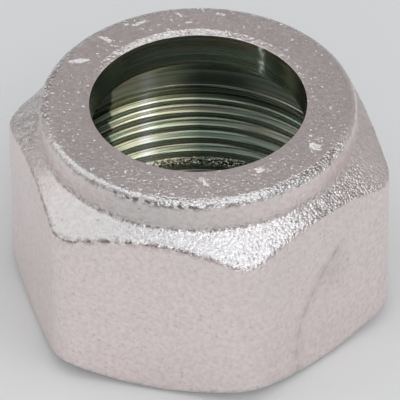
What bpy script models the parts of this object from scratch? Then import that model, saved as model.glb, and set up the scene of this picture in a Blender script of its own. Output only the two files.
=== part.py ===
"""Union nut of a tube fitting: one piece of steel, forged to a hexagon, turned at both ends and tapped.

A round collar stands on the hexagon and lets the tube through a plain bore. Inside, a 45 degree
shoulder opens from that bore into a socket with a right-hand metric thread, which screws onto the
fitting's stub. The nut stands on the socket's mouth: the origin is the centre of that end face, and
+Z runs up the nut's axis, out of the collar. Two flats face -Y and +Y. Lengths are in metres.
"""

import math

import bmesh
import bpy
from mathutils import Matrix, Vector

# Socket thread, M36 x 2, with its crests cut back to near the upper limit of tolerance 6H
THREAD_DIAMETER = 0.0360
THREAD_PITCH = 0.0020
THREAD_DEPTH = 0.0009
START_BELOW_MOUTH = 0.0035
RUN_OUT_LENGTH = 0.0040
PLAIN_ABOVE_THREAD = 0.00145
MOUTH_CLEARANCE = 0.0003

# Walls, each measured outwards or inwards from the thread's root
SEAT_STEP = 0.00525
FLAT_WALL = 0.0025

# Hexagon
HEX_HEIGHT = 0.0231
CORNER_RADIUS = 0.0045
COLLAR_SIDE_CHAMFER = math.radians(34)
MOUTH_SIDE_CHAMFER = math.radians(30)
CHAMFER_INSET_AT_MOUTH = 0.0009

# Collar and tube bore
COLLAR_HEIGHT = 0.0043
COLLAR_SETBACK = 0.00185
COLLAR_EDGE_RADIUS = 0.0009
COLLAR_FOOT_RADIUS = 0.0006
LIP_LENGTH = 0.0042
SHOULDER_ANGLE = math.radians(45)
RIM_RADIUS = 0.0003

# Facets
TURN_STEPS = 60
CORNER_SEGMENTS = 5
EDGE_SEGMENTS = 4

# How far a cutter stands clear of the surface it must pass
CUTTER_MARGIN = 0.0010
WELD_DISTANCE = 1e-6

# Sizes that follow
THREAD_ROOT_RADIUS = THREAD_DIAMETER / 2
THREAD_CREST_RADIUS = THREAD_ROOT_RADIUS - THREAD_DEPTH
BORE_RADIUS = THREAD_ROOT_RADIUS - SEAT_STEP
FLAT_DISTANCE = THREAD_ROOT_RADIUS + FLAT_WALL
CORNER_DISTANCE = FLAT_DISTANCE / math.cos(math.radians(30))
COLLAR_RADIUS = FLAT_DISTANCE - COLLAR_SETBACK
MOUTH_FACE_RADIUS = FLAT_DISTANCE - CHAMFER_INSET_AT_MOUTH
NUT_HEIGHT = HEX_HEIGHT + COLLAR_HEIGHT
LIP_FOOT = NUT_HEIGHT - LIP_LENGTH
SHOULDER_FOOT = LIP_FOOT - (THREAD_CREST_RADIUS - BORE_RADIUS) * math.tan(SHOULDER_ANGLE)
THREAD_END = SHOULDER_FOOT - PLAIN_ABOVE_THREAD


def remove_scene_objects():
    """Empties the scene, so that only the nut is left when the script ends."""
    for scene_object in list(bpy.data.objects):
        bpy.data.objects.remove(scene_object, do_unlink=True)


def new_collection(name):
    """A collection linked to the scene."""
    collection = bpy.data.collections.new(name)
    bpy.context.scene.collection.children.link(collection)
    return collection


def new_object(name, mesh, collection):
    """An object of the mesh, in the collection."""
    new = bpy.data.objects.new(name, mesh)
    collection.objects.link(new)
    return new


def arc(centre, radius, start, end, segments):
    """Points on an arc in the (radius, height) plane, from the start angle to the end angle, in degrees."""
    points = []
    for i in range(segments + 1):
        angle = math.radians(start + (end - start) * i / segments)
        points.append((centre[0] + radius * math.cos(angle), centre[1] + radius * math.sin(angle)))
    return points


def turned_solid(name, profile, collection):
    """A solid of revolution about Z. The profile runs from the axis out, down the outer side and back to the axis."""
    mesh = bpy.data.meshes.new(name)
    points = [(radius, 0, height) for radius, height in profile]
    mesh.from_pydata(points, [(i, i + 1) for i in range(len(points) - 1)], [])
    turned = new_object(name, mesh, collection)
    screw = turned.modifiers.new("turn", "SCREW")
    screw.steps = screw.render_steps = TURN_STEPS
    screw.use_merge_vertices = True
    screw.merge_threshold = WELD_DISTANCE
    return turned


def hexagon_bar(collection):
    """The forged hexagon, as tall as the whole nut, with its six upright corners rounded."""
    bar = bmesh.new()
    bmesh.ops.create_cone(
        bar, cap_ends=True, segments=6, radius1=CORNER_DISTANCE, radius2=CORNER_DISTANCE, depth=NUT_HEIGHT,
        matrix=Matrix.Translation((0, 0, NUT_HEIGHT / 2)) @ Matrix.Rotation(math.radians(30), 4, "Z"),
    )
    upright = [edge for edge in bar.edges if edge.verts[0].co.z != edge.verts[1].co.z]
    bmesh.ops.bevel(
        bar, geom=upright, offset=CORNER_RADIUS * math.tan(math.radians(30)), offset_type="OFFSET",
        segments=CORNER_SEGMENTS, profile=0.5, affect="EDGES",
    )
    mesh = bpy.data.meshes.new("union_nut")
    bar.to_mesh(mesh)
    bar.free()
    return new_object("union_nut", mesh, collection)


def outside_form(collection):
    """The turned outside: collar with its rounded edge, hollow foot, and a chamfer at each end of the hexagon."""
    beyond = CORNER_DISTANCE + CUTTER_MARGIN
    edge = (COLLAR_RADIUS - COLLAR_EDGE_RADIUS, NUT_HEIGHT - COLLAR_EDGE_RADIUS)
    foot = (COLLAR_RADIUS + COLLAR_FOOT_RADIUS, HEX_HEIGHT + COLLAR_FOOT_RADIUS)
    slope = 90 - math.degrees(COLLAR_SIDE_CHAMFER)
    profile = [(0, NUT_HEIGHT)]
    profile += arc(edge, COLLAR_EDGE_RADIUS, 90, 0, EDGE_SEGMENTS)
    profile += arc(foot, COLLAR_FOOT_RADIUS, 180, 180 + slope, EDGE_SEGMENTS)
    top_radius, top_height = profile[-1]
    profile.append((beyond, top_height - (beyond - top_radius) * math.tan(COLLAR_SIDE_CHAMFER)))
    profile.append((beyond, (beyond - MOUTH_FACE_RADIUS) * math.tan(MOUTH_SIDE_CHAMFER)))
    profile += [(MOUTH_FACE_RADIUS, 0), (0, 0)]
    return turned_solid("outside_form", profile, collection)


def inside_form(collection):
    """The turned inside: rounded rim, tube bore, shoulder, socket at the thread's crests, and countersunk mouth."""
    mouth_radius = THREAD_ROOT_RADIUS + MOUTH_CLEARANCE
    rim = (BORE_RADIUS + RIM_RADIUS, NUT_HEIGHT - RIM_RADIUS)
    past_top = NUT_HEIGHT + CUTTER_MARGIN
    profile = [(0, past_top), (rim[0], past_top)]
    profile += arc(rim, RIM_RADIUS, 90, 180, EDGE_SEGMENTS)
    profile += [
        (BORE_RADIUS, LIP_FOOT),
        (THREAD_CREST_RADIUS, SHOULDER_FOOT),
        (THREAD_CREST_RADIUS, mouth_radius - THREAD_CREST_RADIUS),
        (mouth_radius + CUTTER_MARGIN, -CUTTER_MARGIN),
        (0, -CUTTER_MARGIN),
    ]
    return turned_solid("inside_form", profile, collection)


def tap_envelope(collection):
    """The room a tap's teeth reach: full depth from below the mouth, tapering to the crests at the thread's end."""
    taper = (THREAD_ROOT_RADIUS - THREAD_CREST_RADIUS) / RUN_OUT_LENGTH
    below = -4 * THREAD_PITCH
    profile = [
        (0, THREAD_END + CUTTER_MARGIN / taper),
        (THREAD_CREST_RADIUS - CUTTER_MARGIN, THREAD_END + CUTTER_MARGIN / taper),
        (THREAD_ROOT_RADIUS + CUTTER_MARGIN, THREAD_END - RUN_OUT_LENGTH - CUTTER_MARGIN / taper),
        (THREAD_ROOT_RADIUS + CUTTER_MARGIN, below),
        (0, below),
    ]
    return turned_solid("tap_envelope", profile, collection)


def tap(collection):
    """One tooth of the 60 degree thread form, carried up a right-hand helix and cut to the tap's envelope.

    The helix starts below the mouth and half a facet round from the turned forms, so that its edges cross their
    faces cleanly.
    """
    inner_radius = THREAD_CREST_RADIUS - THREAD_PITCH / 16
    root_half_width = THREAD_PITCH / 16
    inner_half_width = root_half_width + (THREAD_ROOT_RADIUS - inner_radius) * math.tan(math.radians(30))
    start = -START_BELOW_MOUTH
    turns = math.ceil((THREAD_END - start) / THREAD_PITCH) + 1
    tooth = bmesh.new()
    corners = [
        (inner_radius, start + inner_half_width),
        (THREAD_ROOT_RADIUS, start + root_half_width),
        (THREAD_ROOT_RADIUS, start - root_half_width),
        (inner_radius, start - inner_half_width),
    ]
    half_facet = Matrix.Rotation(math.pi / TURN_STEPS, 4, "Z")
    outline = [tooth.verts.new(half_facet @ Vector((radius, 0, height))) for radius, height in corners]
    face = tooth.faces.new(outline)
    bmesh.ops.spin(
        tooth, geom=[face, *face.edges, *face.verts], cent=Vector(), axis=Vector((0, 0, 1)),
        dvec=Vector((0, 0, THREAD_PITCH / TURN_STEPS)), angle=math.tau * turns, steps=turns * TURN_STEPS,
    )
    bmesh.ops.triangulate(tooth, faces=tooth.faces)
    bmesh.ops.recalc_face_normals(tooth, faces=tooth.faces)
    mesh = bpy.data.meshes.new("tap")
    tooth.to_mesh(mesh)
    tooth.free()
    helix = new_object("tap", mesh, collection)
    cut(helix, tap_envelope(collection), "INTERSECT")
    return helix


def cut(body, tool, operation):
    """Intersects the body with the tool, or takes the tool out of it."""
    boolean = body.modifiers.new(tool.name, "BOOLEAN")
    boolean.operation = operation
    boolean.solver = "EXACT"
    boolean.object = tool


def zinc_plated_steel():
    """Matt pinkish grey plating over a forged and blasted skin."""
    material = bpy.data.materials.new("zinc_plated_steel")
    material.use_nodes = True
    surface = material.node_tree.nodes["Principled BSDF"]
    surface.inputs["Base Color"].default_value = (0.56, 0.51, 0.50, 1)
    surface.inputs["Metallic"].default_value = 0.85
    surface.inputs["Roughness"].default_value = 0.5
    return material


def finish_mesh(body, material):
    """Freezes the cuts into the mesh, gives it its material, and smooths all but the true edges."""
    evaluated = body.evaluated_get(bpy.context.evaluated_depsgraph_get())
    body.data = bpy.data.meshes.new_from_object(evaluated)
    body.modifiers.clear()
    body.data.materials.clear()
    body.data.materials.append(material)
    body.data.shade_smooth()
    body.data.set_sharp_from_angle(angle=math.radians(25))


def hide_cutters(collection):
    """Cutters stay for later changes, but are neither rendered nor taken for parts."""
    for cutter in collection.objects:
        cutter.hide_render = True
        cutter.display_type = "WIRE"


def build():
    """Forges the hexagon, turns it outside and inside, and taps the socket."""
    remove_scene_objects()
    parts = new_collection("union_nut")
    cutters = new_collection("cutters")
    nut = hexagon_bar(parts)
    cut(nut, outside_form(cutters), "INTERSECT")
    cut(nut, inside_form(cutters), "DIFFERENCE")
    cut(nut, tap(cutters), "DIFFERENCE")
    finish_mesh(nut, zinc_plated_steel())
    hide_cutters(cutters)


build()
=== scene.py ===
"""Union nut in matt zinc-plated steel, on its socket on a pale studio floor. Lengths are in metres."""

import math

import bmesh
import bpy
import numpy as np
from mathutils import Matrix, Vector


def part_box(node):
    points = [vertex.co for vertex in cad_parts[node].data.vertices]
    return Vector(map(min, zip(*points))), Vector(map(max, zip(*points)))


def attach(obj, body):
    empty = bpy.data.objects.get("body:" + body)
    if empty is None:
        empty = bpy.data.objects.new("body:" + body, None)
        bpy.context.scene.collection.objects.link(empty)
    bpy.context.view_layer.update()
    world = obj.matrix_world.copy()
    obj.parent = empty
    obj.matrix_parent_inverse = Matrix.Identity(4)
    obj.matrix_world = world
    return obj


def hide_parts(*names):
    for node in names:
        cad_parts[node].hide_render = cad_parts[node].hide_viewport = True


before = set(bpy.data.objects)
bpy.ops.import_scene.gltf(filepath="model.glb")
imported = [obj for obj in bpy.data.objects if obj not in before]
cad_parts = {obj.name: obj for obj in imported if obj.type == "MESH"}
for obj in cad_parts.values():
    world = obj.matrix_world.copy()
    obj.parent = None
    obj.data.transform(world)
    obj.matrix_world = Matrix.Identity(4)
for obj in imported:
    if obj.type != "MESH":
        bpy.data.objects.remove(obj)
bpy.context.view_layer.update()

# The nut's outside
# One steel forging: a hexagon with a round collar, turned at both ends and left with a blasted skin.
# The collar's edge, its foot and both chamfers are turned; the six upright corners keep the die's rounding.
_, nut_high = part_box("union_nut")
height = nut_high.z
flat_distance = nut_high.y
corner_radius = 0.0045
collar_height = 0.0043
hex_height = height - collar_height
collar_setback = 0.00185
collar_radius = flat_distance - collar_setback
collar_edge = 0.0009
collar_foot = 0.0006
collar_chamfer = math.radians(34)
mouth_chamfer = math.radians(30)
mouth_inset = 0.0009
mouth_face_radius = flat_distance - mouth_inset
soft_edge = 0.00045
columns = 432
angles = np.arange(columns) * math.tau / columns


def hexagon_radius(angle, flat, corner):
    """Distance from the axis to the hexagon's side: the flat's distance over the cosine of the angle from
    the flat's middle, and near a corner the far side of a circle of the corner's radius."""
    from_corner = np.abs((angle + math.pi / 6) % (math.pi / 3) - math.pi / 6)
    on_flat = flat / np.cos(math.pi / 6 - from_corner)
    centre = (flat - corner) / math.cos(math.pi / 6)
    half_chord = np.sqrt(np.maximum(corner**2 - (centre * np.sin(from_corner)) ** 2, 0))
    on_corner = centre * np.cos(from_corner) + half_chord
    tangent = (flat - corner) * math.tan(math.pi / 6)
    return np.where(flat * np.tan(math.pi / 6 - from_corner) <= tangent, on_flat, on_corner)


def straight(start, end, count):
    """Rows of (radius, height) in even steps from start to end, without the last one. Radii and heights may
    vary by column."""
    share = (np.arange(count) / count)[:, None]
    first = [np.broadcast_to(value, angles.shape) for value in start]
    last = [np.broadcast_to(value, angles.shape) for value in end]
    return np.stack([first[i] + (last[i] - first[i]) * share for i in (0, 1)], axis=-1)


def turned_arc(centre, radius, start, end, count):
    """Rows on an arc about a (radius, height) centre: the centre plus the radius times the cosine and sine of
    an angle that steps evenly from start to end, in degrees, without the last one."""
    turn = np.radians(start + (end - start) * np.arange(count) / count)[:, None]
    radii = np.broadcast_to(centre[0], angles.shape) + radius * np.cos(turn)
    heights = np.broadcast_to(centre[1], angles.shape) + radius * np.sin(turn)
    return np.stack([radii, heights], axis=-1)


side = hexagon_radius(angles, flat_distance, corner_radius)
edge_centre = (collar_radius - collar_edge, height - collar_edge)
foot_centre = (collar_radius + collar_foot, hex_height + collar_foot)
upper_turn = 90 - math.degrees(collar_chamfer)
foot_end = (
    foot_centre[0] - collar_foot * math.cos(math.radians(upper_turn)),
    foot_centre[1] - collar_foot * math.sin(math.radians(upper_turn)),
)
upper_edge = foot_end[1] - (side - foot_end[0]) * math.tan(collar_chamfer)
upper_tangent = soft_edge * math.tan(math.radians(upper_turn) / 2)
chamfer_end = (
    side - upper_tangent * math.cos(collar_chamfer),
    upper_edge + upper_tangent * math.sin(collar_chamfer),
)
lower_turn = 60
lower_edge = (side - mouth_face_radius) * math.tan(mouth_chamfer)
lower_tangent = soft_edge * math.tan(math.radians(lower_turn / 2))
mouth_chamfer_start = (
    side - lower_tangent * math.cos(mouth_chamfer),
    lower_edge - lower_tangent * math.sin(mouth_chamfer),
)

# The nut's bore, shoulder and thread
# The tube bore is turned plain, with a low raised rim, and opens by a 45 degree shoulder into the socket.
# A tap cuts the right-hand M36 x 2 thread there and runs out below the shoulder; the mouth is countersunk.
thread_root = 0.018
thread_pitch = 0.002
thread_depth = 0.0009
thread_crest = thread_root - thread_depth
seat_step = 0.00525
bore_radius = thread_root - seat_step
lip_length = 0.0042
lip_foot = height - lip_length
shoulder_foot = lip_foot - (thread_crest - bore_radius)
plain_above_thread = 0.00145
thread_end = shoulder_foot - plain_above_thread
run_out = 0.004
mouth_clearance = 0.0003
mouth_radius = thread_root + mouth_clearance
rim_radius = 0.0001
rim_width = 0.00105
rim_lift = 0.0001
rim_height = height + rim_lift
rim_rise = 0.00014
rim_tilt = math.degrees(math.atan(rim_rise / (rim_width - rim_radius)))
rim_centre = (bore_radius + rim_radius, rim_height - rim_radius)
rim_inner = (
    rim_centre[0] - rim_radius * math.sin(math.radians(rim_tilt)),
    rim_centre[1] + rim_radius * math.cos(math.radians(rim_tilt)),
)
rim_outer = (bore_radius + rim_width, rim_height + rim_rise)
thread_start = -0.25
rows_per_pitch = 10


def thread_rows():
    """Rows that climb the thread's helix from below the mouth to above its end, held between the two. The
    plated thread is rounded, so each point's depth is a raised cosine of its place in the pitch, with its
    flanks steepened to 60 degrees. It is no deeper than the tap's taper, and near the mouth it lies on the
    countersink."""
    pitches = math.ceil(thread_end / thread_pitch)
    place = np.arange(-rows_per_pitch, (pitches + 1) * rows_per_pitch)[:, None] / rows_per_pitch
    climb = (place + (angles / math.tau)[None, :] + thread_start) * thread_pitch
    heights = np.clip(climb, 0, thread_end)
    wave = np.cos(place * math.tau)
    depth = thread_depth * (0.5 - 0.5 * wave * (1.25 - 0.25 * wave**2))
    taper = thread_depth * np.clip((thread_end - climb) / run_out, 0, 1)
    radii = np.maximum(thread_crest + np.minimum(depth, taper), mouth_radius - heights)
    return np.stack([radii, heights], axis=-1)


sections = {
    "collar_face": straight(rim_outer, (edge_centre[0], height), 18),
    "collar_edge": turned_arc(edge_centre, collar_edge, 90, 0, 8),
    "collar_wall": straight((collar_radius, edge_centre[1]), (collar_radius, foot_centre[1]), 8),
    "collar_foot": turned_arc(foot_centre, collar_foot, 180, 180 + upper_turn, 4),
    "collar_chamfer": straight(foot_end, chamfer_end, 16),
    "upper_edge": turned_arc((side - soft_edge, upper_edge - upper_tangent), soft_edge, upper_turn, 0, 3),
    "flats": straight((side, upper_edge - upper_tangent), (side, lower_edge + lower_tangent), 40),
    "lower_edge": turned_arc((side - soft_edge, lower_edge + lower_tangent), soft_edge, 0, -lower_turn, 3),
    "mouth_chamfer": straight(mouth_chamfer_start, (mouth_face_radius, 0), 8),
    "mouth_face": straight((mouth_face_radius, 0), (mouth_radius, 0), 3),
    "thread": thread_rows(),
    "thread_neck": straight((thread_crest, thread_end), (thread_crest, shoulder_foot), 2)[1:],
    "shoulder": straight((thread_crest, shoulder_foot), (bore_radius, lip_foot), 6),
    "bore": straight((bore_radius, lip_foot), (bore_radius, rim_centre[1]), 8),
    "rim_corner": turned_arc(rim_centre, rim_radius, 180, 90 + rim_tilt, 5),
    "rim_face": straight(rim_inner, rim_outer, 6),
}
first_rows = dict(zip(sections, np.cumsum([0] + [len(rows) for rows in sections.values()])))
thread_span = (first_rows["thread"], first_rows["thread_neck"] - 1)
profile = np.concatenate(list(sections.values()))


def ring_mesh(name, profile, values, helix_rows, helix_step):
    """A closed surface from rows of (radius, height) by column: each row is joined to the next and each
    column to the next round the axis. Rows of the helix join a whole pitch higher where they come round. Each
    named value becomes a point attribute."""
    rows, cols = profile.shape[:2]
    points = np.stack(
        [profile[..., 0] * np.cos(angles), profile[..., 0] * np.sin(angles), profile[..., 1]], axis=-1
    ).reshape(-1, 3)
    row, col = [grid.ravel() for grid in np.meshgrid(np.arange(rows), np.arange(cols), indexing="ij")]

    def corner(row_index, col_index):
        first, last = helix_rows
        row_index = row_index % rows
        wraps = (col_index == cols) & (row_index >= first) & (row_index <= last)
        row_index = np.where(wraps, np.minimum(row_index + helix_step, last), row_index)
        return row_index * cols + col_index % cols

    corners = [corner(row, col), corner(row + 1, col), corner(row + 1, col + 1), corner(row, col + 1)]
    quads = np.stack(corners, axis=1)
    mesh = bpy.data.meshes.new(name)
    mesh.vertices.add(len(points))
    mesh.vertices.foreach_set("co", points.astype(np.float32).ravel())
    mesh.loops.add(quads.size)
    mesh.loops.foreach_set("vertex_index", quads.astype(np.int32).ravel())
    mesh.polygons.add(len(quads))
    mesh.polygons.foreach_set("loop_start", np.arange(0, quads.size, 4, dtype=np.int32))
    mesh.update(calc_edges=True)
    for value_name, value in values.items():
        attribute = mesh.attributes.new(value_name, "FLOAT", "POINT")
        attribute.data.foreach_set("value", value.astype(np.float32).ravel())
    weld = bmesh.new()
    weld.from_mesh(mesh)
    weld_distance = 1e-7
    bmesh.ops.remove_doubles(weld, verts=weld.verts, dist=weld_distance)
    bmesh.ops.dissolve_degenerate(weld, edges=weld.edges, dist=weld_distance)
    weld.to_mesh(mesh)
    weld.free()
    mesh.shade_smooth()
    mesh.set_sharp_from_angle(angle=math.radians(35))
    return mesh


# The nut's zinc plating
# The blasted forging is plated all over, matt and a warm grey. The turned bore and thread are smoother and
# greenish, with painted shade and a painted yellowish pool of light on them. Handling has dented the collar's
# face and scratched one flat, and pale bands painted on its edges and rim stand in for highlights.
def wired(tree, kind, inputs, output=0, **settings):
    """Adds a shader node with its settings, fills its inputs with values or other nodes' sockets, and gives
    back one of its outputs."""
    node = tree.nodes.new("ShaderNode" + kind)
    for name, value in settings.items():
        setattr(node, name, value)
    for name, value in inputs.items():
        if isinstance(value, bpy.types.NodeSocket):
            tree.links.new(value, node.inputs[name])
        else:
            node.inputs[name].default_value = value
    return node.outputs[output]


def calc(tree, operation, first, second=0.0):
    """One arithmetic step on two values or sockets."""
    return wired(tree, "Math", {0: first, 1: second}, operation=operation)


def remap(tree, value, low, high, new_low=0.0, new_high=1.0):
    """The value carried from low..high to new_low..new_high, and held there at both ends."""
    inputs = {"Value": value, "From Min": low, "From Max": high, "To Min": new_low, "To Max": new_high}
    return wired(tree, "MapRange", inputs)


def noise(tree, place, scale, detail=2.0):
    """Smooth noise about 0.5, with this many lumps to the metre."""
    return wired(tree, "TexNoise", {"Vector": place, "Scale": scale, "Detail": detail})


def blend(tree, factor, first, second, mode="MIX"):
    """Two colours mixed, or the first one multiplied by the second, as far as the factor says."""
    inputs = {"Factor": factor, 6: first, 7: second}
    return wired(tree, "Mix", inputs, 2, data_type="RGBA", blend_type=mode)


def flake_group():
    """Grain of a blasted and plated skin: cells about as wide as Size, each tipped its own way, with steeper
    finer ones here and there. Height is in metres for a Bump node, and Pits is 1 in scattered small pits."""
    tree = bpy.data.node_groups.new("flake_grain", "ShaderNodeTree")
    for name, way in (("Size", "INPUT"), ("Tilt", "INPUT"), ("Height", "OUTPUT"), ("Pits", "OUTPUT")):
        tree.interface.new_socket(name, in_out=way, socket_type="NodeSocketFloat")
    entry, leave = tree.nodes.new("NodeGroupInput"), tree.nodes.new("NodeGroupOutput")
    size, tilt = entry.outputs["Size"], entry.outputs["Tilt"]
    place = wired(tree, "TexCoord", {}, "Object")

    def cell_layer(width):
        """One layer of cells: each point's distance from its cell's middle in cells, how steeply its cell
        leans, and how far it is up its cell's slope."""
        cells = wired(tree, "TexVoronoi", {"Vector": place, "Scale": calc(tree, "DIVIDE", 1.0, width)}).node
        offset = wired(tree, "VectorMath", {0: place, 1: cells.outputs["Position"]}, operation="SUBTRACT")
        centred = {0: cells.outputs["Color"], 1: (0.5, 0.5, 0.5)}
        lean = wired(tree, "VectorMath", centred, operation="SUBTRACT")
        steep = wired(tree, "VectorMath", {0: lean}, "Value", operation="LENGTH")
        rise = wired(tree, "VectorMath", {0: offset, 1: lean}, "Value", operation="DOT_PRODUCT")
        return cells.outputs["Distance"], steep, rise

    coarse_distance, _, coarse_rise = cell_layer(size)
    _, fine_steep, fine_rise = cell_layer(calc(tree, "MULTIPLY", size, 0.5))
    square = calc(tree, "MULTIPLY", calc(tree, "MULTIPLY", coarse_distance, coarse_distance), size)
    dome = calc(tree, "MULTIPLY", square, -0.4)
    coarse = calc(tree, "ADD", calc(tree, "MULTIPLY", coarse_rise, 0.3), dome)
    coarse = calc(tree, "MULTIPLY", calc(tree, "MULTIPLY", coarse, tilt), tilt)
    rare = calc(tree, "POWER", calc(tree, "MULTIPLY", fine_steep, 1.6), 6.0)
    fine = calc(tree, "MULTIPLY", calc(tree, "MULTIPLY", fine_rise, rare), calc(tree, "MULTIPLY", tilt, 0.5))
    tree.links.new(calc(tree, "ADD", coarse, fine), leave.inputs["Height"])
    tree.links.new(remap(tree, noise(tree, place, 2600.0, 1.0), 0.63, 0.76), leave.inputs["Pits"])
    return tree


flakes = flake_group()
flake_size = 0.00036


def scratch(tree, place):
    """How much of a faint smeared scratch lies at each point of the flat that faces from +X 30 degrees
    towards -Y. It runs up the flat along a parabola, thin and ragged, with a soft smear beside its upper
    part."""
    flat_side = (0.5, 0.866, 0)
    flat_outward = (0.866, -0.5, 0)
    scratch_foot = 0.0039
    scratch_top = 0.0172
    scratch_curve = 46.5
    scratch_lean = -0.343
    smear_middle = (0.0186, -0.0089, 0.0128)
    smear_radius = 0.0034
    along = wired(tree, "VectorMath", {0: place, 1: flat_side}, "Value", operation="DOT_PRODUCT")
    outward = wired(tree, "VectorMath", {0: place, 1: flat_outward}, "Value", operation="DOT_PRODUCT")
    up = wired(tree, "SeparateXYZ", {"Vector": place}, "Z")
    steepness = calc(tree, "ADD", calc(tree, "MULTIPLY", up, scratch_curve), scratch_lean)
    bend = calc(tree, "MULTIPLY", steepness, up)
    off = calc(tree, "ABSOLUTE", calc(tree, "SUBTRACT", calc(tree, "ADD", along, scratch_foot), bend))
    core = remap(tree, off, 0.0004, 0.0, 0.0, 0.4)
    line = calc(tree, "ADD", core, remap(tree, off, 0.0015, 0.0, 0.0, 0.42))
    broken = calc(tree, "MULTIPLY", line, remap(tree, noise(tree, place, 500.0, 3.0), 0.35, 0.6))
    line = calc(tree, "MULTIPLY", broken, remap(tree, up, scratch_top, scratch_top - 0.0017))
    away = wired(tree, "VectorMath", {0: place, 1: smear_middle}, "Value", operation="DISTANCE")
    smear = calc(tree, "ADD", line, remap(tree, away, smear_radius, 0.0, 0.0, 0.35))
    on_flat = remap(tree, outward, flat_distance - 0.0005, flat_distance - 0.0002)
    return calc(tree, "MULTIPLY", smear, on_flat)


def blasted_zinc():
    """Matt warm grey plating, metallic but for its pale specks, dents and painted highlights: cloudy and
    finely mottled, cooler where it was turned, with painted shade on the collar's face and front, dark in its
    pits, with dark lines painted along the turned edges as painted shade and painted dark reflection, and
    scratched on one flat."""
    material = bpy.data.materials.new("blasted_zinc")
    material.use_nodes = True
    tree = material.node_tree
    shader = tree.nodes["Principled BSDF"]
    place = wired(tree, "TexCoord", {}, "Object")
    tilt, painted_edge_shade, wear_and_painted_highlight, cool, painted_shade = [
        wired(tree, "Attribute", {}, "Fac", attribute_name=name)
        for name in ("grain", "painted_edge_shade", "wear_and_painted_highlight", "cool", "painted_shade")
    ]
    height_map = wired(tree, "Group", {"Size": flake_size, "Tilt": tilt}, "Height", node_tree=flakes)
    up = wired(tree, "SeparateXYZ", {"Vector": place}, "Z")
    below_collar = remap(tree, up, hex_height, hex_height - 0.002, 0.1, 1.0)
    pits = calc(tree, "MULTIPLY", height_map.node.outputs["Pits"], below_collar)
    plate = blend(tree, noise(tree, place, 160.0, 4.0), (0.94, 0.835, 0.82, 1), (0.86, 0.78, 0.77, 1))
    mottle = remap(tree, noise(tree, place, 1700.0, 1.0), 0.35, 0.7)
    plate = blend(tree, mottle, plate, (0.90, 0.88, 0.875, 1), "MULTIPLY")
    plate = blend(tree, pits, plate, (0.84, 0.80, 0.79, 1), "MULTIPLY")
    plate = blend(tree, cool, plate, (0.92, 1.0, 1.02, 1), "MULTIPLY")
    # Painted shade: a darker, cooler grey on the collar's face and wall towards the front.
    plate = blend(tree, painted_shade, plate, (0.80, 0.86, 0.85, 1), "MULTIPLY")
    # Painted shade and painted dark reflection: dark broken lines along the turned edges and in the collar's
    # foot.
    painted_edge_shade_mask = calc(tree, "MULTIPLY", painted_edge_shade, remap(tree, noise(tree, place, 1300.0, 2.0), 0.44, 0.56))
    plate = blend(tree, painted_edge_shade_mask, plate, (0.30, 0.26, 0.24, 1), "MULTIPLY")
    plate = blend(tree, scratch(tree, place), plate, (0.62, 0.60, 0.60, 1), "MULTIPLY")
    roughened = calc(tree, "MULTIPLY", noise(tree, place, 3500.0), 0.6)
    # The dents, and pale bands painted as highlights where the edges and rim catch the light, make the
    # plating paler, rougher and less metallic.
    wear_and_highlight = remap(tree, calc(tree, "ADD", calc(tree, "MULTIPLY", wear_and_painted_highlight, 0.5), roughened), 0.62, 0.82)
    on_top = remap(tree, up, height - 0.0003, height - 0.0002)
    # Painted shade: the whole of the collar's face is a little darker.
    plate = blend(tree, on_top, plate, (0.95, 0.935, 0.935, 1), "MULTIPLY")
    specks = remap(tree, noise(tree, place, 1500.0, 1.0), 0.68, 0.76, 0.0, 0.75)
    wear_and_highlight = calc(tree, "MAXIMUM", wear_and_highlight, calc(tree, "MULTIPLY", specks, on_top))
    plate = blend(tree, wear_and_highlight, plate, (0.97, 0.95, 0.94, 1))
    tree.links.new(plate, shader.inputs["Base Color"])
    tree.links.new(remap(tree, wear_and_highlight, 0.0, 1.0, 1.0, 0.3), shader.inputs["Metallic"])
    tree.links.new(remap(tree, wear_and_highlight, 0.0, 1.0, 0.28, 0.6), shader.inputs["Roughness"])
    normal = wired(tree, "Bump", {"Strength": 1.0, "Distance": 1.0, "Height": height_map})
    tree.links.new(normal, shader.inputs["Normal"])
    return material


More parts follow.
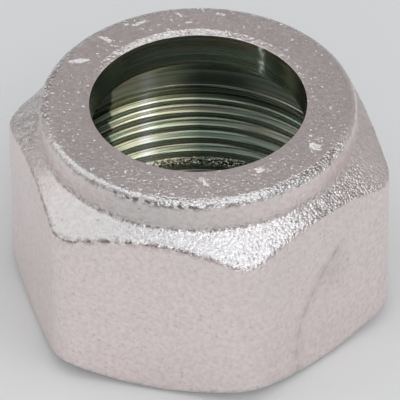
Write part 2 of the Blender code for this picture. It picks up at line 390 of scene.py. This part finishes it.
def turned_zinc():
    """Greenish plating on the turned bore and thread, with fine lines round the axis: painted shade making it
    dark on the far-left side, a painted yellowish pool of light with a sharp edge and a painted glint on one
    side, painted shade below the lip and near the mouth, a painted highlight streak down the lip, the lip's
    wall darker towards the right and near side, and nodules of plating near the mouth. Turns are in degrees
    round the axis from +X."""
    glint_turn = 125.5
    highlight_streak_turn = 69.0
    painted_lip_shade_foot, painted_lip_shade_top = 0.0148, 0.0183
    rim_tint_foot = 0.0250
    nodules_foot, nodules_top = 0.0028, 0.0050
    mouth_shade_top = 0.0032
    line_depth = 0.00008
    material = bpy.data.materials.new("turned_zinc")
    material.use_nodes = True
    tree = material.node_tree
    shader = tree.nodes["Principled BSDF"]
    shader.inputs["Roughness"].default_value = 0.24
    place = wired(tree, "TexCoord", {}, "Object")
    axes = wired(tree, "SeparateXYZ", {"Vector": place}).node.outputs
    up = axes["Z"]
    turn = calc(tree, "MULTIPLY", calc(tree, "ARCTAN2", axes["Y"], axes["X"]), 180 / math.pi)
    above_lip_foot = remap(tree, up, lip_foot, lip_foot + 0.0003)
    # Painted shade: the tint turns dark from 45 to 92 degrees round, so the far-left side is dark and the
    # right is lighter.
    painted_far_shade = remap(tree, turn, 45.0, 92.0)
    tint = blend(tree, painted_far_shade, (0.60, 0.66, 0.56, 1), (0.155, 0.18, 0.142, 1))
    tint = blend(tree, above_lip_foot, tint, (0.225, 0.26, 0.205, 1))
    # Painted light: a yellowish pool of light between 104 and 142.5 degrees round below the lip, with a sharp
    # edge, and the glint in it.
    painted_light_span = calc(tree, "MULTIPLY", remap(tree, turn, 104, 128), remap(tree, turn, 142.5, 141.5))
    painted_light_pool = calc(tree, "MULTIPLY", painted_light_span, remap(tree, up, lip_foot, lip_foot - 0.0005))
    tint = blend(tree, painted_light_pool, tint, (0.76, 0.75, 0.55, 1))
    drawn_out = wired(tree, "Mapping", {"Vector": place, "Scale": (120.0, 120.0, 900.0)})
    smears = remap(tree, noise(tree, drawn_out, 1.0, 2.0), 0.35, 0.65)
    smear_tint = blend(tree, smears, (0.92, 1.03, 1.0, 1), (1.06, 0.96, 0.91, 1))
    tint = blend(tree, 1.0, tint, smear_tint, "MULTIPLY")
    beside_glint = calc(tree, "ABSOLUTE", calc(tree, "SUBTRACT", turn, glint_turn))
    glint = calc(tree, "MULTIPLY", remap(tree, beside_glint, 5.0, 0.5, 0.0, 0.9), painted_light_pool)
    tint = blend(tree, glint, tint, (1.0, 1.0, 0.93, 1))
    # Painted shade below the overhanging lip, between 88 and 108 degrees round.
    painted_lip_shade = calc(tree, "MULTIPLY", remap(tree, turn, 116, 108), remap(tree, turn, 78, 88))
    painted_lip_shade = calc(tree, "MULTIPLY", painted_lip_shade, remap(tree, up, painted_lip_shade_top, painted_lip_shade_top - 0.0004))
    painted_lip_shade = calc(tree, "MULTIPLY", painted_lip_shade, remap(tree, up, painted_lip_shade_foot, painted_lip_shade_foot + 0.0008))
    tint = blend(tree, painted_lip_shade, tint, (0.5, 0.5, 0.52, 1), "MULTIPLY")
    # The lip's wall is darker from 62 degrees round down to 35 and on through the right and near side.
    darker_lip_side = calc(tree, "MULTIPLY", remap(tree, turn, 62.0, 35.0), above_lip_foot)
    tint = blend(tree, darker_lip_side, tint, (0.4, 0.45, 0.45, 1), "MULTIPLY")
    near_rim = remap(tree, up, rim_tint_foot, rim_tint_foot + 0.0015)
    tint = blend(tree, near_rim, tint, (1.12, 0.93, 1.0, 1), "MULTIPLY")
    # Painted highlight: a pale, less metallic streak down the lip at 69 degrees round.
    beside_highlight_streak = calc(tree, "ABSOLUTE", calc(tree, "SUBTRACT", turn, highlight_streak_turn))
    ragged = remap(tree, noise(tree, place, 1100.0), 0.3, 0.58)
    painted_highlight_streak = calc(tree, "MULTIPLY", remap(tree, beside_highlight_streak, 3.0, 0.5), ragged)
    painted_highlight_streak = calc(tree, "MULTIPLY", painted_highlight_streak, remap(tree, up, lip_foot, lip_foot + 0.0008))
    tint = blend(tree, painted_highlight_streak, tint, (0.80, 0.84, 0.80, 1))
    tree.links.new(remap(tree, painted_highlight_streak, 0.0, 1.0, 1.0, 0.2), shader.inputs["Metallic"])
    below_top = remap(tree, up, nodules_top, nodules_top - 0.0006)
    nodules = calc(tree, "MULTIPLY", below_top, remap(tree, up, nodules_foot, nodules_foot + 0.0007))
    specks = calc(tree, "MULTIPLY", remap(tree, noise(tree, place, 2600.0, 1.0), 0.52, 0.62), nodules)
    tint = blend(tree, specks, tint, (0.48, 0.45, 0.38, 1))
    near_mouth = remap(tree, up, mouth_shade_top, mouth_shade_top - 0.0007)
    tint = blend(tree, near_mouth, tint, (0.4, 0.4, 0.4, 1), "MULTIPLY")
    squashed = wired(tree, "Mapping", {"Vector": place, "Scale": (25.0, 25.0, 2200.0)})
    lines = noise(tree, squashed, 1.0, 3.0)
    shade = remap(tree, lines, 0.3, 0.7, 0.7, 1.25)
    colour = wired(tree, "VectorMath", {0: tint, "Scale": shade}, operation="SCALE")
    tree.links.new(colour, shader.inputs["Base Color"])
    bumps = wired(tree, "Group", {"Size": flake_size, "Tilt": nodules}, "Height", node_tree=flakes)
    relief = calc(tree, "ADD", calc(tree, "MULTIPLY", lines, line_depth), bumps)
    normal = wired(tree, "Bump", {"Strength": 1.0, "Distance": 1.0, "Height": relief})
    tree.links.new(normal, shader.inputs["Normal"])
    return material


def around(middle, width):
    """A bell over the columns: e to the power of minus the square of the angle from the middle over the
    width, both in degrees. It is 1 at the middle and about a third at the width to each side."""
    away = (np.degrees(angles) - middle + 180) % 360 - 180
    return np.exp(-((away / width) ** 2))


def by_section(**values):
    """The value named for each section of the profile, or 0, as a column with one row for each row of the
    profile."""
    return np.concatenate([np.full((len(rows), 1), values.get(name, 0.0)) for name, rows in sections.items()])


# Five values at each point of the skin: how rough its grain is, where dark lines are painted as shade and
# dark reflection, how cool its grey is, how much painted shade darkens it, and how far dents or painted
# highlights pale it.
edge_row, wall_row = first_rows["collar_edge"], first_rows["collar_wall"]
foot_row, chamfer_row = first_rows["collar_foot"], first_rows["collar_chamfer"]
upper_edge_row, flat_row = first_rows["upper_edge"], first_rows["flats"]
rim_row = first_rows["rim_corner"]
turned_rows = by_section(collar_edge=1, collar_chamfer=1, upper_edge=1)
grain_rows = by_section(
    collar_face=0.42, collar_edge=0.95, collar_wall=0.33, collar_foot=0.8, collar_chamfer=0.68,
    upper_edge=0.95, flats=0.28, lower_edge=0.8, mouth_chamfer=0.7, mouth_face=0.4,
)
uneven = 0.65 * around(341, 20) - 0.75 * around(230, 34) - 0.55 * around(25, 30) + 0.7 * around(187, 20)
grain_values = grain_rows * (1 + turned_rows * uneven)
grain_values[edge_row:wall_row] *= 1 - 0.8 * around(20, 26)
grain_values[rim_row:] = 0.35 + 0.6 * around(123, 42)
# Dark lines painted under the collar's edge, in its foot and where the chamfer meets the flats, as painted
# shade and painted dark reflection.
painted_edge_shade_rows = np.zeros(len(profile))
painted_edge_shade_rows[edge_row + 4:wall_row + 1] = (0.6, 1.0, 1.0, 0.8, 0.4)
painted_edge_shade_rows[foot_row + 1:chamfer_row] = (0.6, 0.8, 0.5)
painted_edge_shade_values = painted_edge_shade_rows[:, None] * np.minimum(around(272, 26) + 0.25, 1)
across_edge = np.array([[0.4], [0.7], [1.0], [0.8], [0.4]])
painted_edge_shade_values[upper_edge_row - 1:flat_row + 1] = across_edge * (0.25 + 0.75 * around(262, 30))
painted_edge_shade_values = np.maximum(painted_edge_shade_values, turned_rows * (0.32 * around(337, 15) + 0.3 * around(187, 22)))
cool_rows = by_section(
    collar_edge=1, collar_foot=0.5, collar_chamfer=1, upper_edge=0.5, lower_edge=0.5, mouth_chamfer=1,
    mouth_face=0.5,
)
cool_values = cool_rows * (1 - 0.95 * around(8, 34) - 0.7 * around(205, 26))
# Where shade is painted on the collar's wall and foot at the front, and on its face at the front left.
painted_shade_values = by_section(collar_wall=1, collar_foot=0.5) * around(268, 24)
painted_shade_values[:edge_row] = 0.45 * around(236, 24)
# Pale bands painted as highlights on the bore's rim and on the collar's edge at the front and front left, and
# pale specks painted as sparkle on the chamfer at the right.
painted_highlight_values = np.zeros((len(profile), columns))
painted_highlight_values[rim_row + 1:] = np.minimum(1.05 * around(118, 46), 0.85)
painted_highlight_values[edge_row:edge_row + 5] = 0.95 * around(302, 19)
painted_highlight_values[edge_row + 1:edge_row + 6] += 0.78 * around(226, 26)
painted_highlight_values[chamfer_row:upper_edge_row] = 0.5 * around(352, 24)

# The handling marks on the collar's face, as radius, angle in degrees, half length, half width and slant in
# degrees.
marks = (
    (0.0163, 147.1, 0.00115, 0.00040, -23),
    (0.0162, 165.3, 0.00125, 0.00046, 20),
    (0.0167, 128.9, 0.00105, 0.00036, 44),
    (0.0172, 134.5, 0.00032, 0.00028, -13),
    (0.0152, 109.2, 0.00052, 0.00028, 21),
    (0.0169, 112.2, 0.00060, 0.00024, -43),
    (0.0171, 95.8, 0.00065, 0.00030, -2),
    (0.0146, 314.1, 0.00065, 0.00042, 24),
    (0.0148, 287.2, 0.00115, 0.00032, -35),
    (0.0157, 343.6, 0.00105, 0.00056, -25),
    (0.0146, 348.9, 0.00030, 0.00028, 15),
)


def lumps(points, size, seed):
    """Smooth noise from -1 to 1: random values on a cubic lattice with cells of one size, eased and blended
    between the eight corners of each point's cell."""
    lattice = 64
    lattice_shift = 400.5
    values = np.random.default_rng(seed).uniform(-1, 1, (lattice, lattice, lattice))
    place = points / size + lattice_shift
    cell = np.floor(place).astype(int)
    share = place - cell
    share = share * share * (3 - 2 * share)
    total = np.zeros(len(points))
    for corner in np.ndindex(2, 2, 2):
        weight = np.prod(np.where(np.array(corner) == 1, share, 1 - share), axis=1)
        total += weight * values[tuple(((cell + corner) % lattice).T)]
    return total


def dents(points):
    """Strength of the handling marks on the collar's face, each an oval patch with a ragged edge: distance
    from the oval's middle in half lengths and half widths, roughened with noise."""
    face_reach = 0.0004
    ragged = 0.45 * lumps(points, 0.0005, 5) + 0.25 * lumps(points, 0.00025, 6)
    strength = np.zeros(len(points))
    for radius, turn, long, wide, slant in marks:
        turn, slant = math.radians(turn), math.radians(slant)
        offset = points[:, :2] - radius * np.array([math.cos(turn), math.sin(turn)])
        along = (offset @ (math.cos(slant), math.sin(slant))) / long
        across = (offset @ (-math.sin(slant), math.cos(slant))) / wide
        strength = np.maximum(strength, np.clip((1.1 - np.hypot(along, across) + ragged) / 0.3, 0, 1))
    return np.where(points[:, 2] > height - face_reach, strength, 0)


def read_values(items, name, width):
    """The named values of a mesh's items, as an array with one row for each item."""
    values = np.empty(len(items) * width, dtype=np.float32)
    items.foreach_get(name, values)
    return values.reshape(-1, width)


skin_values = {
    "grain": grain_values, "painted_edge_shade": painted_edge_shade_values, "cool": cool_values, "painted_shade": painted_shade_values, "wear_and_painted_highlight": painted_highlight_values,
}
skin_mesh = ring_mesh("union_nut_skin", profile, skin_values, thread_span, rows_per_pitch)
nut = bpy.data.objects.new("union_nut_skin", skin_mesh)
bpy.context.scene.collection.objects.link(nut)
points = read_values(skin_mesh.vertices, "co", 3).astype(float)
normals = read_values(skin_mesh.vertex_normals, "vector", 3)
grain = read_values(skin_mesh.attributes["grain"].data, "value", 1)[:, 0]
wear_and_painted_highlight = read_values(skin_mesh.attributes["wear_and_painted_highlight"].data, "value", 1)[:, 0]
dented = dents(points)
# The same grain swells the surface itself, in lumps of 0.9 and 0.45 mm, and the dents sink into it.
coarse_swell = 0.00003 * lumps(points, 0.0009, 3)
fine_swell = 0.00002 * lumps(points, 0.00045, 4)
dent_depth = 0.00003
swell = grain**2 * (coarse_swell + fine_swell) - dent_depth * dented
points += normals * swell[:, None]
points[:, 2] = np.maximum(points[:, 2], 0)
skin_mesh.vertices.foreach_set("co", points.astype(np.float32).ravel())
skin_mesh.attributes["grain"].data.foreach_set("value", np.maximum(grain, dented * 0.6).astype(np.float32))
skin_mesh.attributes["wear_and_painted_highlight"].data.foreach_set("value", np.maximum(wear_and_painted_highlight, dented).astype(np.float32))
skin_mesh.update()
skin_mesh.materials.append(blasted_zinc())
skin_mesh.materials.append(turned_zinc())
centres = read_values(skin_mesh.polygons, "center", 3)
bore_limit = bore_radius + 0.3 * rim_radius
socket_limit = thread_root + 0.00002
inner_limit = np.where(centres[:, 2] > lip_foot, bore_limit, socket_limit)
inside = np.hypot(centres[:, 0], centres[:, 1]) < inner_limit
skin_mesh.polygons.foreach_set("material_index", inside.astype(np.int32))
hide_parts("union_nut")
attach(nut, "root")

# The studio
# A pale floor under a soft grey sky, a large soft panel over the camera's right shoulder, and five smaller
# ones that fill in: low in front, lower on the right, at both sides, and high behind.
floor_mesh = bpy.data.meshes.new("studio_floor")
floor_half = 3.0
floor_corners = [(x * floor_half, y * floor_half, 0) for x, y in ((-1, -1), (1, -1), (1, 1), (-1, 1))]
floor_mesh.from_pydata(floor_corners, [], [(0, 1, 2, 3)])
floor = bpy.data.objects.new("studio_floor", floor_mesh)
bpy.context.scene.collection.objects.link(floor)
floor_paint = bpy.data.materials.new("floor_paint")
floor_paint.use_nodes = True
paint_inputs = floor_paint.node_tree.nodes["Principled BSDF"].inputs
paint_inputs["Base Color"].default_value = (0.80, 0.80, 0.80, 1)
paint_inputs["Roughness"].default_value = 0.9
paint_inputs["Specular IOR Level"].default_value = 0.0
floor_mesh.materials.append(floor_paint)

world = bpy.data.worlds.new("studio")
bpy.context.scene.world = world
world.use_nodes = True
nodes, links = world.node_tree.nodes, world.node_tree.links
sky = nodes["Background"]
direction = nodes.new("ShaderNodeTexCoord")
split = nodes.new("ShaderNodeSeparateXYZ")
ramp = nodes.new("ShaderNodeValToRGB")
links.new(direction.outputs["Generated"], split.inputs["Vector"])
links.new(split.outputs["Z"], ramp.inputs["Fac"])
links.new(ramp.outputs["Color"], sky.inputs["Color"])
stops = ramp.color_ramp.elements
stops[0].color = (0.41, 0.41, 0.41, 1)
stops[1].color = (0.17, 0.17, 0.17, 1)
for position, level in ((0.3, 0.455), (0.56, 0.36), (0.75, 0.24)):
    stops.new(position).color = (level, level, level, 1)

# A long lens from a metre away, fitted to the nut's outline.
camera_azimuth = math.radians(15.08)
camera_elevation = math.radians(39.4)
camera_roll = math.radians(-0.453)
camera_distance = 1.0187
camera_lens = 782.7
aim_right, aim_down = 0.000212, 0.01133
back = Vector((
    math.sin(camera_azimuth) * math.cos(camera_elevation),
    -math.cos(camera_azimuth) * math.cos(camera_elevation),
    math.sin(camera_elevation),
))
level_right = Vector((math.cos(camera_azimuth), math.sin(camera_azimuth), 0))
level_down = level_right.cross(back)
right = level_right * math.cos(camera_roll) - level_down * math.sin(camera_roll)
down = level_right * math.sin(camera_roll) + level_down * math.cos(camera_roll)
camera_data = bpy.data.cameras.new("camera")
camera_data.sensor_width = 36
camera_data.lens = camera_lens
camera = bpy.data.objects.new("camera", camera_data)
bpy.context.scene.collection.objects.link(camera)
aim = Vector((0, 0, height)) + right * aim_right + down * aim_down
camera_turn = Matrix((right, -down, back)).transposed().to_4x4()
camera.matrix_world = Matrix.Translation(aim + back * camera_distance) @ camera_turn
camera_data.clip_start, camera_data.clip_end = 0.05, 20
bpy.context.scene.camera = camera

panel_distance = 0.9


def panel(name, azimuth, elevation, size, radiance, colour=(1, 1, 1)):
    """A square soft light on a sphere round the nut, facing it. Its power is radiance times pi times its
    area. Azimuth is counted to the right from the camera's."""
    turn = camera_azimuth + math.radians(azimuth)
    rise = math.radians(elevation)
    towards = Vector((math.sin(turn) * math.cos(rise), -math.cos(turn) * math.cos(rise), math.sin(rise)))
    lamp_data = bpy.data.lights.new(name, "AREA")
    lamp_data.shape = "SQUARE"
    lamp_data.size = size
    lamp_data.color = colour
    lamp_data.energy = radiance * math.pi * size**2
    lamp = bpy.data.objects.new(name, lamp_data)
    bpy.context.scene.collection.objects.link(lamp)
    lamp.location = towards * panel_distance
    lamp.rotation_mode = "QUATERNION"
    lamp.rotation_quaternion = towards.to_track_quat("Z", "Y")
    lamp.visible_camera = False


cool_white = (0.94, 1.0, 1.05)
panel("key_panel", 30, 60, 1.0, 0.51, cool_white)
panel("right_panel", 40, 42, 0.7, 0.73)
panel("front_panel", -10, 35, 0.6, 1.07)
panel("left_panel", -100, 57, 0.9, 0.58)
panel("side_panel", 100, 58, 0.7, 0.51)
panel("back_panel", 180, 78, 0.65, 0.65, cool_white)

bpy.context.scene.view_settings.view_transform = "Standard"
